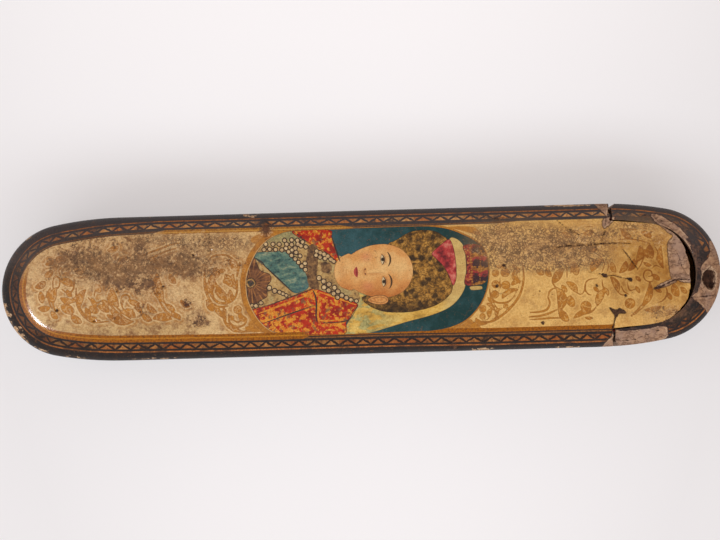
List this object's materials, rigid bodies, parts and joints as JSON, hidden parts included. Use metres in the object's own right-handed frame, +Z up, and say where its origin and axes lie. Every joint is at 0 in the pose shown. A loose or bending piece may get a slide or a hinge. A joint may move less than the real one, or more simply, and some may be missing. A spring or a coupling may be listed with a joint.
{
  "type": "pen box",
  "caption": "Long lacquered papier-mache pen box with rounded ends: a drawer holding reed pens, tools and a lidded brass inkwell slides out of a case whose roof and floor end in tongues.",
  "frame": {"origin": "centre of the flat underside, on the surface the box stands on", "axes": "+X along the box towards the drawer's head, +Z up, +Y to the left of +X"},
  "size_m": [0.23, 0.0458, 0.039],
  "materials": {
    "case_lacquer": "gloss",
    "head_lacquer": "gloss",
    "tray_lacquer": "satin",
    "brass": "satin",
    "ink_silk": "matte",
    "reed": "satin",
    "bone": "satin",
    "steel": "satin"
  },
  "bodies": {
    "case": {"case_sleeve": "case_lacquer"},
    "drawer": {"drawer_tray": "tray_lacquer", "drawer_head": "head_lacquer", "ink_bulkhead": "tray_lacquer", "inkwell_pot": "brass", "inkwell_top": "brass", "hinge_pin": "brass", "ink_wadding": "ink_silk", "reed_pen_broad": "reed", "reed_pen_medium": "reed", "reed_pen_fine": "reed", "knife_handle": "bone", "knife_bolster": "brass", "knife_blade": "steel", "nib_plate": "bone", "ink_spoon": "brass"},
    "lid": {"inkwell_lid": "brass", "lid_knob": "brass"}
  },
  "joints": [
    {"name": "drawer_slide", "type": "slide", "parent": "case", "child": "drawer", "axis": [1, 0, 0], "range_m": [0, 0.225]},
    {"name": "inkwell_lid_hinge", "type": "hinge", "parent": "drawer", "child": "lid", "pos_m": [0.08025, 0, 0.0182], "axis": [0, -1, 0], "range_deg": [0, 100]}
  ]
}
